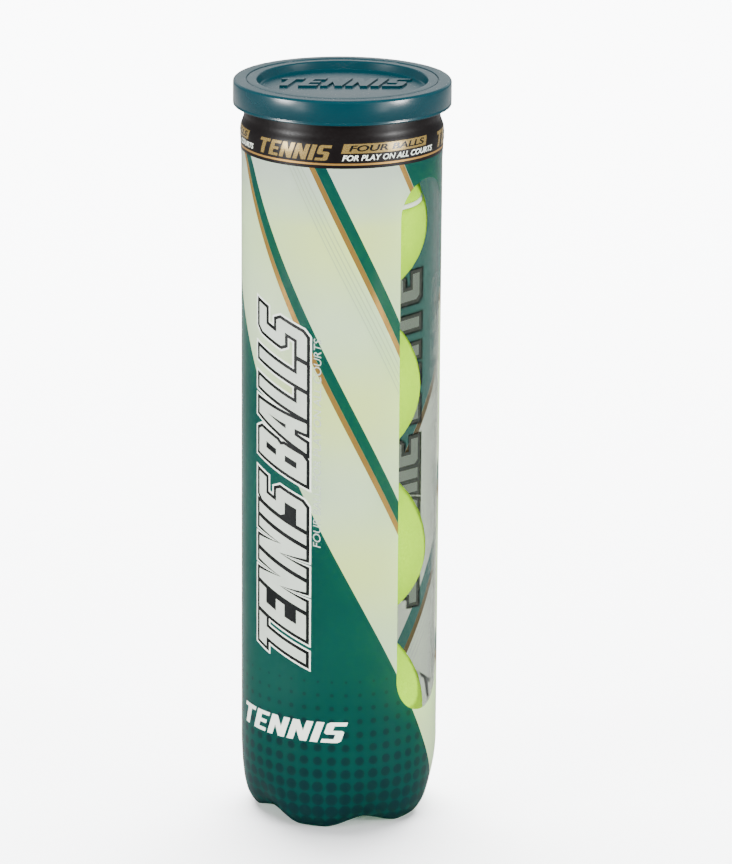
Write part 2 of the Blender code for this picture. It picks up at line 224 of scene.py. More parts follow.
def petal_skin(section):
    """A bmesh spun from a closed section of (t, inset) points and pressed into the feet."""
    bm = bmesh.new()
    t_at = bm.verts.layers.float.new("t")
    inset_at = bm.verts.layers.float.new("inset")
    verts = []
    for t, inset in section:
        radius, height = along(foot_line, t)
        verts.append(bm.verts.new(((radius + 1 - inset) * MM, 0, height * MM)))
        verts[-1][t_at], verts[-1][inset_at] = t, inset
    edges = [bm.edges.new(pair) for pair in zip(verts, verts[1:] + verts[:1])]
    bmesh.ops.spin(bm, geom=verts + edges, cent=(0, 0, 0), axis=(0, 0, 1), angle=math.tau,
                   steps=TURNS, use_merge=True)
    for v in bm.verts:
        azimuth = math.atan2(v.co.x, -v.co.y)
        v.co = skin_point(v[t_at], azimuth, v[inset_at])
    bmesh.ops.remove_doubles(bm, verts=bm.verts, dist=0.002 * MM)
    bmesh.ops.dissolve_degenerate(bm, edges=bm.edges, dist=0.001 * MM)
    bmesh.ops.recalc_face_normals(bm, faces=bm.faces)
    return bm


def levels(first, last, each):
    """Places along the section from first to last, each to a step, ends included."""
    count = max(round((last - first) * each), 1)
    return [first + (last - first) * i / count for i in range(count + 1)]


def finish_piece(name, bm, body, nodes_replaced, materials, sharp=40):
    """An object from bm, shaded smooth, that rides on body and stands for the CAD nodes."""
    mesh = bpy.data.meshes.new(name)
    bm.to_mesh(mesh)
    bm.free()
    mesh.shade_smooth()
    mesh.set_sharp_from_angle(angle=math.radians(sharp))
    for made in materials:
        mesh.materials.append(made)
    piece = bpy.data.objects.new(name, mesh)
    bpy.context.scene.collection.objects.link(piece)
    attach(piece, body)
    if nodes_replaced:
        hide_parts(*nodes_replaced)


# A slight unevenness that every moulded, printed or rolled surface here has: large soft
# cloudiness, and fine scratches or grain, each as a value round 0.5.
wear = bpy.data.node_groups.new("surface_wear", "ShaderNodeTree")
wear.interface.new_socket("Size", in_out="INPUT", socket_type="NodeSocketFloat")
wear.interface.new_socket("Clouds", in_out="OUTPUT", socket_type="NodeSocketFloat")
wear.interface.new_socket("Fine", in_out="OUTPUT", socket_type="NodeSocketFloat")
wear_in = wear.nodes.new("NodeGroupInput")
wear_out = wear.nodes.new("NodeGroupOutput")
wear_where = wear.nodes.new("ShaderNodeTexCoord")
for output, stretch, detail in (("Clouds", 1.0, 3.0), ("Fine", 22.0, 6.0)):
    scaled = wear.nodes.new("ShaderNodeMath")
    scaled.operation = "MULTIPLY"
    scaled.inputs[1].default_value = stretch
    cloud = wear.nodes.new("ShaderNodeTexNoise")
    cloud.inputs["Detail"].default_value = detail
    wear.links.new(wear_in.outputs["Size"], scaled.inputs[0])
    wear.links.new(wear_where.outputs["Object"], cloud.inputs["Vector"])
    wear.links.new(scaled.outputs[0], cloud.inputs["Scale"])
    wear.links.new(cloud.outputs["Fac"], wear_out.inputs[output])


def add_wear(nodes, size):
    """The surface_wear group in a material, with its own size."""
    made = nodes.new("ShaderNodeGroup")
    made.node_tree = wear
    made.inputs["Size"].default_value = size
    return made


def math_node(nodes, links, operation, *values):
    """A Math node fed by values, each a number or a socket. Returns its output."""
    made = nodes.new("ShaderNodeMath")
    made.operation = operation
    for socket, value in zip(made.inputs, values):
        if isinstance(value, (int, float)):
            socket.default_value = value
        else:
            links.new(value, socket)
    return made.outputs[0]


def spread(nodes, links, value, low, high):
    """Maps a value round 0.5 to the range low to high."""
    made = nodes.new("ShaderNodeMapRange")
    made.inputs["From Min"].default_value = 0.3
    made.inputs["From Max"].default_value = 0.7
    made.inputs["To Min"].default_value = low
    made.inputs["To Max"].default_value = high
    links.new(value, made.inputs["Value"])
    return made.outputs["Result"]


FILM_IOR = 1.2  # below polyester's own, to keep the sheen of the many faces faint
CAN_TINT = (0.965, 0.985, 0.975)


def clear_shader(nodes, links, tint, gloss_roughness):
    """A clear film: see-through, with a mirror sheen that grows towards the edges."""
    through = nodes.new("ShaderNodeBsdfTransparent")
    through.inputs["Color"].default_value = (*tint, 1)
    gloss = nodes.new("ShaderNodeBsdfGlossy")
    gloss.inputs["Roughness"].default_value = gloss_roughness
    # The back of a face reflects like its front, because the film is too thin to bend light.
    side = nodes.new("ShaderNodeNewGeometry")
    ior = math_node(nodes, links, "MULTIPLY_ADD", side.outputs["Backfacing"],
                    1 / FILM_IOR - FILM_IOR, FILM_IOR)
    fresnel = nodes.new("ShaderNodeFresnel")
    links.new(ior, fresnel.inputs["IOR"])
    film = nodes.new("ShaderNodeMixShader")
    links.new(fresnel.outputs[0], film.inputs[0])
    links.new(through.outputs[0], film.inputs[1])
    links.new(gloss.outputs[0], film.inputs[2])
    return film.outputs[0], gloss


pet, nodes, links, shader, output = shader_material("clear_polyester")
nodes.remove(shader)
surface, gloss = clear_shader(nodes, links, CAN_TINT, 0.06)
links.new(surface, output.inputs["Surface"])
links.new(spread(nodes, links, add_wear(nodes, 60).outputs["Fine"], 0.03, 0.12),
          gloss.inputs["Roughness"])

outside = levels(0, WALL_FROM + 1, 4) + levels(WALL_FROM + 1, WALL_FROM + 2, 6)[1:]
outside += levels(WALL_FROM + 2, len(foot_line) - 1, 4)[1:]
section = [(t, 0) for t in outside] + [(t, CAN_WALL) for t in reversed(outside)]
finish_piece("can_wall", petal_skin(section), "can", ["can_body"], [pet])


# ------------------------------------------------------------------ shrink sleeve
# A tube of thin polyester film, printed on its inner face and shrunk onto the can. The white
# ground lets light through, the green, gold and black don't, and two long windows are bare.
FILM_OUTSIDE = -0.55  # insets from the can's outer face
FILM_INSIDE = -0.30
FILM_RADIUS = 38.95  # of the straight part
TOP_OF_PATTERN = 268.0  # the height at which the angles below are measured

# Print layout: angles round the can in degrees from the front, heights in millimetres. All
# diagonals run down to the right, by DIAGONAL degrees for each millimetre.
DIAGONAL = 0.765
NO_LIMIT = 999.0
GREEN_FROM, GREEN_TO = 38.2, 239.8
BAND_BOTTOM, HAIRLINE_LOW, HAIRLINE_HIGH = 269.3, 270.6, 271.4
WINDOW_MIDDLES = (57.0, 237.0)
WINDOW_HALF = 14.6
WINDOW_LOW, WINDOW_HIGH = 46.6, 262.0
# (left edge, right edge, how much steeper than DIAGONAL) of the stripes on the white
GOLD_STRIPES = ((-72.2, -68.5, 0.03), (-17.8, -14.2, 0.055), (34.4, 38.3, 0.0))
GREEN_STRIPES = ((-68.8, -61.8, 0.03), (-14.5, -7.5, 0.055))
HAIRLINES = (-30.5, -28.0, -25.4, -22.8)
HAIRLINE_WIDTH = 0.8
PRINT_EDGE = 0.25  # how soft the edge of a stripe or a dot is
DOT_COLUMNS = 44
DOT_PITCH = 5.5
DOTS_TOP = 67.0  # no dots above this height
DOTS_VANISH = 79.5  # the height at which their size would come to nothing
DOT_GROWTH = 0.039  # of a dot's radius, for each millimetre below that height
BALL_LEVEL, BALL_PITCH = 41.5, 66.25  # the balls behind the print
LIT_MIDDLE = 5.0  # the angle at which the painted glow of the balls is strongest
PAINTED_SHADE_FROM = 246.0  # painted shade starts here, above the top ball

PRINT_WHITE = (0.66, 0.83, 0.55)
# Painted glow of the lit balls seen through the thin white print
PAINTED_BALL_GLOW = (0.74, 0.89, 0.33)
# Painted shade on the white print above the top ball
PAINTED_SHADE_WHITE = (0.56, 0.66, 0.56)
PRINT_GREEN = (0.0005, 0.037, 0.033)
PRINT_DOT = (0.003, 0.013, 0.019)
PRINT_GOLD = (0.34, 0.19, 0.05)
PRINT_BLACK = (0.004, 0.003, 0.003)
PRINT_GREY = (0.33, 0.40, 0.31)
GLOW_WHITE, GLOW_GOLD, GLOW_GREEN = (0.93, 0.97, 0.80), (0.45, 0.32, 0.14), (0.16, 0.47, 0.40)
WINDOW_TINT = (0.98, 0.99, 0.985)

label, nodes, links, shader, output = shader_material("printed_film")


def calc(operation, *values):
    """A Math node in the printed film."""
    return math_node(nodes, links, operation, *values)


where = nodes.new("ShaderNodeTexCoord")
apart = nodes.new("ShaderNodeSeparateXYZ")
links.new(where.outputs["Object"], apart.inputs[0])
height = calc("DIVIDE", apart.outputs["Z"], MM)
azimuth = calc("MULTIPLY", calc("ARCTAN2", apart.outputs["X"],
                                calc("MULTIPLY", apart.outputs["Y"], -1)), 180 / math.pi)
drop = calc("SUBTRACT", TOP_OF_PATTERN, height)
# The angle of the diagonal through a point, as if it ran back up to the top of the pattern.
slant = calc("WRAP", calc("SUBTRACT", azimuth, calc("MULTIPLY", drop, DIAGONAL)),
             GREEN_TO, GREEN_TO - 360)


def add_bump(nodes, links, shader, relief, strength, depth):
    """Bump on a shader from the relief socket, depth in millimetres."""
    bump = nodes.new("ShaderNodeBump")
    bump.inputs["Strength"].default_value = strength
    bump.inputs["Distance"].default_value = depth * MM
    links.new(relief, bump.inputs["Height"])
    links.new(bump.outputs["Normal"], shader.inputs["Normal"])


def between(value, low, high, soft=0.05):
    """1 where value lies from low to high, with edges soft wide."""
    past_low = calc("DIVIDE", calc("SUBTRACT", value, low), soft)
    past_high = calc("DIVIDE", calc("SUBTRACT", high, value), soft)
    least = calc("MINIMUM", past_low, past_high)
    clamp = nodes.new("ShaderNodeClamp")
    links.new(least, clamp.inputs[0])
    return clamp.outputs[0]


def paint(under, colour, mask):
    """Lays colour over under, where mask is 1."""
    return colour_mix(nodes, links, mask, under, colour)


def length(x, y):
    """The length of a step x across and y up."""
    return calc("SQRT", calc("ADD", calc("MULTIPLY", x, x), calc("MULTIPLY", y, y)))


def either(*masks):
    """1 where any of the masks is."""
    joined = masks[0]
    for mask in masks[1:]:
        joined = calc("MAXIMUM", joined, mask)
    return joined


def stripe(left, right, steeper):
    """A diagonal stripe. Steeper is what its slope has over DIAGONAL."""
    return between(calc("ADD", slant, calc("MULTIPLY", drop, steeper)), left, right, PRINT_EDGE)


field = between(slant, GREEN_FROM, GREEN_TO, PRINT_EDGE)
green = either(field, *[stripe(*s) for s in GREEN_STRIPES])
gold = either(*[stripe(*s) for s in GOLD_STRIPES])
hairline = either(*[stripe(a, a + HAIRLINE_WIDTH, 0.03) for a in HAIRLINES])

# Dots sit in a square grid over the green, and shrink towards the top of their field.
column = calc("MULTIPLY", azimuth, DOT_COLUMNS / 360)
across = calc("MULTIPLY", calc("SUBTRACT", calc("FRACT", column), 0.5), DOT_PITCH)
row = calc("DIVIDE", height, DOT_PITCH)
up = calc("MULTIPLY", calc("SUBTRACT", calc("FRACT", row), 0.5), DOT_PITCH)
from_middle = length(across, up)
row_height = calc("MULTIPLY", calc("ADD", calc("FLOOR", row), 0.5), DOT_PITCH)
dot_radius = calc("MULTIPLY", calc("SUBTRACT", DOTS_VANISH, row_height), DOT_GROWTH)
dot_radius = calc("MULTIPLY", dot_radius, calc("LESS_THAN", row_height, DOTS_TOP))
inside_dot = between(calc("SUBTRACT", dot_radius, from_middle), 0, NO_LIMIT, PRINT_EDGE)
dots = calc("MULTIPLY", inside_dot, field)

# The black band under the neck has a gold hairline near its lower edge.
band = between(height, BAND_BOTTOM, NO_LIMIT)
band_gold = between(height, HAIRLINE_LOW, HAIRLINE_HIGH)

# A window is a long slot with round ends.
windows = []
for middle in WINDOW_MIDDLES:
    off = calc("WRAP", calc("SUBTRACT", azimuth, middle), 180, -180)
    sideways = calc("MULTIPLY", off, math.radians(FILM_RADIUS))
    over = calc("MAXIMUM", calc("SUBTRACT", height, WINDOW_HIGH - WINDOW_HALF),
                calc("SUBTRACT", WINDOW_LOW + WINDOW_HALF, height))
    away = length(sideways, calc("MAXIMUM", over, 0))
    windows.append(between(away, -NO_LIMIT, WINDOW_HALF, 0.1))
window = either(*windows)

# Painted light: where a ball lies close behind the thin white ink, a warm glow of light from the
# ball is painted into the white, strongest where light falls on the ball through a window. Above
# the top ball a cooler painted shade stands for the shade behind it.
film_wear = add_wear(nodes, 40)
white = paint(PRINT_WHITE, tuple(0.9 * c for c in PRINT_WHITE),
              spread(nodes, links, film_wear.outputs["Clouds"], 0, 1))
painted_glow_share = calc("COSINE", calc("MULTIPLY", calc("SUBTRACT", height, BALL_LEVEL),
                                math.tau / BALL_PITCH))
painted_glow_share = calc("MULTIPLY", calc("MULTIPLY_ADD", painted_glow_share, 0.5, 0.5), between(height, 8, 258, 12))
lit_side = calc("COSINE", calc("MULTIPLY", calc("SUBTRACT", azimuth, LIT_MIDDLE), math.radians(2)))
painted_glow_share = calc("MULTIPLY", painted_glow_share, calc("MULTIPLY_ADD", lit_side, 0.5, 0.5))
# painted glow of the lit balls behind the print
white = paint(white, PAINTED_BALL_GLOW, painted_glow_share)
# painted shade above the top ball
white = paint(white, PAINTED_SHADE_WHITE, between(height, PAINTED_SHADE_FROM, NO_LIMIT, 18))
ink = paint(white, PRINT_GREY, hairline)
ink = paint(ink, PRINT_GOLD, gold)
ink = paint(ink, PRINT_GREEN, green)
ink = paint(ink, PRINT_DOT, dots)
ink = paint(ink, PRINT_BLACK, band)
ink = paint(ink, PRINT_GOLD, band_gold)
solid_ink = either(green, gold, band)

links.new(ink, shader.inputs["Base Color"])
gloss_break = spread(nodes, links, film_wear.outputs["Fine"], 0.12, 0.24)
links.new(calc("ADD", gloss_break, calc("MULTIPLY", band, 0.2)), shader.inputs["Roughness"])
shader.inputs["Specular IOR Level"].default_value = 0.15
bare_gold = calc("MULTIPLY", gold, calc("SUBTRACT", 1, either(green, band)))
links.new(calc("MULTIPLY", either(bare_gold, band_gold), 0.55), shader.inputs["Metallic"])
add_bump(nodes, links, shader, film_wear.outputs["Clouds"], 0.05, 0.4)

# What light from behind the print looks like through it. The black lets none through.
glow = nodes.new("ShaderNodeBsdfTranslucent")
lit_ink = paint(GLOW_WHITE, GLOW_GOLD, gold)
links.new(paint(lit_ink, GLOW_GREEN, green), glow.inputs["Color"])
printed = nodes.new("ShaderNodeMixShader")
thinness = calc("SUBTRACT", 0.5, calc("MULTIPLY", solid_ink, 0.3))
links.new(calc("MULTIPLY", thinness, calc("SUBTRACT", 1, band)), printed.inputs[0])
links.new(shader.outputs[0], printed.inputs[1])
links.new(glow.outputs[0], printed.inputs[2])
bare, _ = clear_shader(nodes, links, WINDOW_TINT, 0.05)
whole = nodes.new("ShaderNodeMixShader")
links.new(window, whole.inputs[0])
links.new(printed.outputs[0], whole.inputs[1])
links.new(bare, whole.inputs[2])
links.new(whole.outputs[0], output.inputs["Surface"])

film_back, nodes, links, shader, output = shader_material("film_back")
nodes.remove(shader)
surface, gloss = clear_shader(nodes, links, (0.99, 0.99, 0.99), 0.08)
links.new(surface, output.inputs["Surface"])
links.new(spread(nodes, links, add_wear(nodes, 60).outputs["Fine"], 0.05, 0.12),
          gloss.inputs["Roughness"])

SLEEVE_FROM = 6.1  # places along the can's section: on a foot's outer slope ...
SLEEVE_TO = WALL_FROM + 8.3  # ... and just under the seam
film = levels(SLEEVE_FROM, WALL_FROM + 1, 4) + levels(WALL_FROM + 1, WALL_FROM + 2, 12)[1:]
film += levels(WALL_FROM + 2, SLEEVE_TO, 4)[1:]
section = [(t, FILM_OUTSIDE) for t in film] + [(t, FILM_INSIDE) for t in reversed(film)]
bm = petal_skin(section)
inset_at = bm.verts.layers.float["inset"]
for face in bm.faces:
    if any(v[inset_at] > FILM_OUTSIDE + 0.01 for v in face.verts):
        face.material_index = 1
finish_piece("printed_sleeve", bm, "can", ["shrink_sleeve"], [label, film_back])


# ------------------------------------------------------------------ lettering on the sleeve
# Words in a plain sans-serif, printed in ink layers: a white edge, a black outline and a grey
# face on the long word, and gold or white on the band and the foot of the label.
INK_THICKNESS = 0.02
INK_FIRST = 0.03  # height of the lowest ink layer over the film
INK_STEP = 0.05  # from one ink layer to the next
INK_INSIDE = -0.32  # height of the first ink layer on the film's inner face
SWELL_FROM = 262.0  # height above which the film's radius changes
FLAT_ACROSS, FLAT_UP = 1.5, 0.6  # the widest facet of a word round the can, and up its swell
LONG_WORD = ("TENNIS BALLS", 23.0, 147.0, 0.42)  # text, height, length, lean
LONG_WORD_MIDDLE = 139.8


def film_radius(height):
    """The radius of the film's outer face at a height, in millimetres."""
    low, high = float(WALL_FROM), WALL_FROM + 9.0
    for _ in range(30):
        middle = (low + high) / 2
        low, high = (middle, high) if along(foot_line, middle).y < height else (low, middle)
    return along(foot_line, low).x - FILM_OUTSIDE


# Block letters, as outlines of a rim and then its holes, in parts of the letter's height
LETTERS = {
    "A": [[(0, 0), (0.19, 0), (0.22, 0.22), (0.34, 0.22), (0.37, 0), (0.56, 0), (0.41, 1),
           (0.15, 1)],
          [(0.24, 0.39), (0.32, 0.39), (0.28, 0.78)]],
    "B": [[(0, 0), (0.44, 0), (0.51, 0.07), (0.51, 0.43), (0.46, 0.5), (0.51, 0.57),
           (0.51, 0.93), (0.44, 1), (0, 1)],
          [(0.2, 0.18), (0.32, 0.18), (0.32, 0.41), (0.2, 0.41)],
          [(0.2, 0.59), (0.32, 0.59), (0.32, 0.82), (0.2, 0.82)]],
    "E": [[(0, 0), (0.47, 0), (0.47, 0.18), (0.2, 0.18), (0.2, 0.41), (0.43, 0.41),
           (0.43, 0.59), (0.2, 0.59), (0.2, 0.82), (0.47, 0.82), (0.47, 1), (0, 1)]],
    "I": [[(0, 0), (0.2, 0), (0.2, 1), (0, 1)]],
    "L": [[(0, 0), (0.46, 0), (0.46, 0.18), (0.2, 0.18), (0.2, 1), (0, 1)]],
    "N": [[(0, 0), (0.18, 0), (0.18, 0.52), (0.37, 0), (0.55, 0), (0.55, 1), (0.37, 1),
           (0.37, 0.48), (0.18, 1), (0, 1)]],
    "S": [[(0, 0), (0.43, 0), (0.5, 0.08), (0.5, 0.51), (0.43, 0.59), (0.2, 0.59),
           (0.2, 0.82), (0.5, 0.82), (0.5, 1), (0.07, 1), (0, 0.92), (0, 0.49),
           (0.07, 0.41), (0.3, 0.41), (0.3, 0.18), (0, 0.18)]],
    "T": [[(0.18, 0), (0.38, 0), (0.38, 0.81), (0.56, 0.81), (0.56, 1), (0, 1), (0, 0.81),
           (0.18, 0.81)]],
    " ": [[(0, 0), (0.2, 0)]],
}
LETTER_GAP = 0.085


def grown(outline, by):
    """A closed outline with every edge moved outwards, and its corners kept sharp."""
    moved = []
    for i, here in enumerate(outline):
        before = (here - outline[i - 1]).normalized()
        after = (outline[(i + 1) % len(outline)] - here).normalized()
        out_before, out_after = Vector((before.y, -before.x)), Vector((after.y, -after.x))
        sharpness = max(1 + out_before.dot(out_after), 0.5)
        moved.append(here + (out_before + out_after) * by / sharpness)
    return moved


def block_word(text, size, width, lean, grow=0.0, solid=False):
    """A thin closed plate in the shape of a slanted word, its middle at the origin."""
    placed, x = [], 0.0
    for letter in text:
        outlines = LETTERS[letter]
        placed += [(x, outline, n > 0) for n, outline in enumerate(outlines) if letter != " "]
        x += max(px for px, _ in outlines[0]) + LETTER_GAP
    full = x - LETTER_GAP
    stretch = (width - lean * size) / full
    points, loops, holes = [], [], set()
    for start, outline, is_hole in placed:
        if is_hole and solid:
            continue
        shape = [Vector(((start + px) * stretch + lean * py * size - width / 2,
                         (py - 0.5) * size)) for px, py in outline]
        if grow:
            shape = grown(shape, -grow if is_hole else grow)
        if is_hole:
            holes.add(len(loops))
        loops.append(list(range(len(points), len(points) + len(shape))))
        points += shape
    verts, _, faces, _, _, sources = delaunay_2d_cdt(points, [], loops, 1, 1e-5)
    bm = bmesh.new()
    made = [bm.verts.new((*v, 0)) for v in verts]
    for face, source in zip(faces, sources):
        if not holes & set(source):
            bm.faces.new([made[i] for i in face])
    bmesh.ops.delete(bm, geom=[v for v in bm.verts if not v.link_faces], context="VERTS")
    top = bmesh.ops.extrude_face_region(bm, geom=bm.faces[:])
    lifted = [v for v in top["geom"] if isinstance(v, bmesh.types.BMVert)]
    bmesh.ops.translate(bm, verts=lifted, vec=(0, 0, INK_THICKNESS))
    bmesh.ops.recalc_face_normals(bm, faces=bm.faces)
    return bm


def mesh_of(obj):
    """A bmesh of what a text or curve object makes. The object itself is thrown away."""
    flat = bpy.data.meshes.new_from_object(obj.evaluated_get(
        bpy.context.evaluated_depsgraph_get()))
    bpy.data.objects.remove(obj)
    bm = bmesh.new()
    bm.from_mesh(flat)
    bpy.data.meshes.remove(flat)
    return bm


def word_mesh(text, size, width, lean, grow):
    """A flat mesh of a word, middle at the origin: size tall, width wide (millimetres)."""
    curve = bpy.data.curves.new(text, "FONT")
    curve.body = text
    curve.align_x, curve.align_y = "CENTER", "CENTER"
    curve.size = 10.0
    curve.shear = lean
    curve.resolution_u = 6
    obj = bpy.data.objects.new(text, curve)
    bpy.context.scene.collection.objects.link(obj)
    bpy.context.view_layer.update()
    plain = obj.dimensions.copy()
    curve.offset = grow * plain.y / size
    curve.extrude = INK_THICKNESS * plain.y / size / 2
    bm = mesh_of(obj)
    bmesh.ops.scale(bm, verts=bm.verts, vec=(width / plain.x, size / plain.y, size / plain.y))
    return bm


def wrap_on_sleeve(bm, azimuth, height, lift, upright=False):
    """Bends a flat word round the can. An upright one reads from the bottom up."""
    if upright:
        quarter = Matrix.Rotation(math.pi / 2, 3, "Z")
        bmesh.ops.rotate(bm, verts=bm.verts, cent=(0, 0, 0), matrix=quarter)
    cuts = [(0, FLAT_ACROSS)] + ([(1, FLAT_UP)] if height > SWELL_FROM else [])
    for axis, widest in cuts:
        way = Vector((axis == 0, axis == 1, 0))
        reach = max(abs(v.co[axis]) for v in bm.verts)
        cut = -reach
        while cut < reach:
            bmesh.ops.bisect_plane(bm, geom=bm.verts[:] + bm.edges[:] + bm.faces[:],
                                   plane_co=way * cut, plane_no=way)
            cut += widest
    for v in bm.verts:
        z = height + v.co.y
        radius = film_radius(z) + lift + v.co.z
        angle = math.radians(azimuth) + v.co.x / FILM_RADIUS
        v.co = Vector((radius * math.sin(angle), -radius * math.cos(angle), z)) * MM
    bmesh.ops.recalc_face_normals(bm, faces=bm.faces)
    return bm


def ink_material(name, colour, roughness, metallic=0.0):
    """An ink whose colour is a little darker in places."""
    made, nodes, links, shader, _ = shader_material(name)
    worn = add_wear(nodes, 90)
    clouds = spread(nodes, links, worn.outputs["Clouds"], 0, 1)
    links.new(colour_mix(nodes, links, clouds, colour, tuple(0.85 * c for c in colour)),
              shader.inputs["Base Color"])
    links.new(spread(nodes, links, worn.outputs["Fine"], roughness, roughness + 0.1),
              shader.inputs["Roughness"])
    shader.inputs["Metallic"].default_value = metallic
    shader.inputs["Specular IOR Level"].default_value = 0.25
    return made


ink_white = ink_material("ink_white", (0.80, 0.86, 0.76), 0.16)
ink_grey = ink_material("ink_grey", (0.50, 0.56, 0.48), 0.16)
ink_black = ink_material("ink_black", (0.004, 0.005, 0.005), 0.16)
# Painted light: seen from inside, the thin inks get lighter colours and a faint emission, which
# stand in for the daylight through them and the haze of the clear films in front.
ink_grey_inside_painted_glow = ink_material("ink_grey_inside_painted_glow", (0.86, 0.92, 0.82), 0.4)
ink_black_inside_painted_glow = ink_material("ink_black_inside_painted_glow", (0.08, 0.10, 0.09), 0.4)
for inside_ink, glow_strength in ((ink_grey_inside_painted_glow, 0.5), (ink_black_inside_painted_glow, 0.13)):
    lit = inside_ink.node_tree.nodes["Principled BSDF"]
    lit.inputs["Emission Color"].default_value = (0.55, 0.61, 0.50, 1)
    lit.inputs["Emission Strength"].default_value = glow_strength
ink_gold = ink_material("ink_gold", (0.21, 0.145, 0.045), 0.22, 0.3)
ink_pale = ink_material("ink_pale", (0.40, 0.46, 0.40), 0.2)
ink_green = ink_material("ink_green", PRINT_GREEN, 0.2)

# The long word, on the front left and again opposite
for side, azimuth in (("front", -36.4), ("rear", 143.6)):
    for layer, (part, grow, ink) in enumerate((
        ("edge", 2.0, ink_white), ("outline", 1.3, ink_black), ("face", 0.0, ink_grey),
    )):
        bm = block_word(*LONG_WORD, grow, solid=part != "face")
        wrap_on_sleeve(bm, azimuth, LONG_WORD_MIDDLE, INK_FIRST + INK_STEP * layer, upright=True)
        finish_piece(f"long_word_{side}_{part}", bm, "can", [], [ink])
        if part == "edge":
            continue
        # The same ink seen from inside the can, against the film's inner face, with its painted
        # glow
        bm = block_word(*LONG_WORD, grow, solid=part != "face")
        wrap_on_sleeve(bm, azimuth, LONG_WORD_MIDDLE, INK_INSIDE - INK_STEP * layer, upright=True)
        seen = ink_grey_inside_painted_glow if part == "face" else ink_black_inside_painted_glow
        finish_piece(f"long_word_{side}_{part}_inner", bm, "can", [], [seen])
    bm = word_mesh("FOUR BALLS FOR PLAY ON ALL COURTS", 3.0, 84.0, 0.2, 0.0)
    wrap_on_sleeve(bm, azimuth + 23.4, 160.0, INK_FIRST, upright=True)
    finish_piece(f"small_line_{side}", bm, "can", [], [ink_pale])
    bm = block_word("TENNIS", 8.5, 54.0, 0.35)
    wrap_on_sleeve(bm, azimuth + 2.0, 42.4, INK_FIRST)
    # The foot word is white on the green in front, and green on the white at the back.
    foot_ink = ink_white if side == "front" else ink_green
    finish_piece(f"foot_word_{side}", bm, "can", [], [foot_ink])

# The band's words, three times round
for turn in range(3):
    middle = 120.0 * turn
    bm = block_word("TENNIS", 6.0, 33.5, 0.35)
    wrap_on_sleeve(bm, middle - 30.0, 275.4, INK_FIRST)
    finish_piece(f"band_word_{turn + 1}", bm, "can", [], [ink_gold])
    bm = word_mesh("FOR PLAY ON ALL COURTS", 2.1, 41.0, 0.25, 0.05)
    wrap_on_sleeve(bm, middle + 30.0, 273.4, INK_FIRST)
    finish_piece(f"band_line_{turn + 1}", bm, "can", [], [ink_white])
    # A gold plate with its word in black
    bm = bmesh.new()
    bmesh.ops.create_cube(bm, size=1.0)
    bmesh.ops.scale(bm, verts=bm.verts, vec=(37.0, 3.6, INK_THICKNESS))
    for v in bm.verts:
        v.co.x += 0.3 * v.co.y
    wrap_on_sleeve(bm, middle + 27.5, 277.1, INK_FIRST)
    finish_piece(f"band_plate_{turn + 1}", bm, "can", [], [ink_gold])
    bm = word_mesh("FOUR BALLS", 2.2, 33.0, 0.25, 0.08)
    wrap_on_sleeve(bm, middle + 27.5, 277.1, INK_FIRST + INK_STEP)
    finish_piece(f"band_plate_word_{turn + 1}", bm, "can", [], [ink_black])


# ------------------------------------------------------------------ end seam ring
# The rim of the aluminium ring-pull end, folded over the can's hook in a double seam. Inside
# it are the chuck wall, the countersink groove, and the lip that stays when the panel goes.
def turned(section, steps=180):
    """A bmesh spun from a closed section of (radius, height) points in millimetres."""
    bm = bmesh.new()
    verts = [bm.verts.new((r * MM, 0, z * MM)) for r, z in section]
    edges = [bm.edges.new(pair) for pair in zip(verts, verts[1:] + verts[:1])]
    bmesh.ops.spin(bm, geom=verts + edges, cent=(0, 0, 0), axis=(0, 0, 1), angle=math.tau,
                   steps=steps, use_merge=True)
    bmesh.ops.remove_doubles(bm, verts=bm.verts, dist=0.001 * MM)
    bmesh.ops.recalc_face_normals(bm, faces=bm.faces)
    return bm


def bend(centre, radius, start, end, steps=8):
    """Points of an arc, angles in degrees, in the plane of a section."""
    angles = [math.radians(start + (end - start) * i / steps) for i in range(steps + 1)]
    return [(centre[0] + radius * math.cos(a), centre[1] + radius * math.sin(a)) for a in angles]


def sheet_section(path, thickness):
    """The closed section of a sheet whose middle follows path. Ends on the axis stay there."""
    path = [Vector(p) for p in path]
    left, right = [], []
    for i, here in enumerate(path):
        steps = [here - path[i - 1]] if i else []
        steps += [path[i + 1] - here] if i + 1 < len(path) else []
        way = sum((s.normalized() for s in steps), Vector((0, 0))).normalized()
        across = Vector((-way.y, way.x)) if here.x > 0.01 else Vector((0, 1))
        left.append(here + across * thickness / 2)
        right.append(here - across * thickness / 2)
    return left + right[::-1]


seam_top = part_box("end_seam_ring")[1].z / MM
PANEL = seam_top - 6.0  # height of the panel's sheet
END_SHEET = 0.28
BRIGHT_METAL, DULL_METAL = (0.82, 0.82, 0.83), (0.66, 0.66, 0.68)
COMPOUND_GREYS = (0.20, 0.20, 0.19), (0.30, 0.30, 0.28)

# Rolled aluminium: fine straight lines along one direction, as the mill left them
aluminium, nodes, links, shader, _ = shader_material("rolled_aluminium")
where = nodes.new("ShaderNodeTexCoord")
stretch = nodes.new("ShaderNodeMapping")
stretch.inputs["Scale"].default_value = (60, 2600, 60)
rolled = nodes.new("ShaderNodeTexNoise")
rolled.inputs["Scale"].default_value = 1.0
rolled.inputs["Detail"].default_value = 4.0
links.new(where.outputs["Object"], stretch.inputs["Vector"])
links.new(stretch.outputs["Vector"], rolled.inputs["Vector"])
worn = add_wear(nodes, 50)
tone = colour_mix(nodes, links, spread(nodes, links, rolled.outputs["Fac"], 0, 0.7),
                  BRIGHT_METAL, DULL_METAL)
links.new(tone, shader.inputs["Base Color"])
shader.inputs["Metallic"].default_value = 1.0
links.new(spread(nodes, links, worn.outputs["Clouds"], 0.22, 0.34), shader.inputs["Roughness"])
add_bump(nodes, links, shader, rolled.outputs["Fac"], 0.12, 0.05)

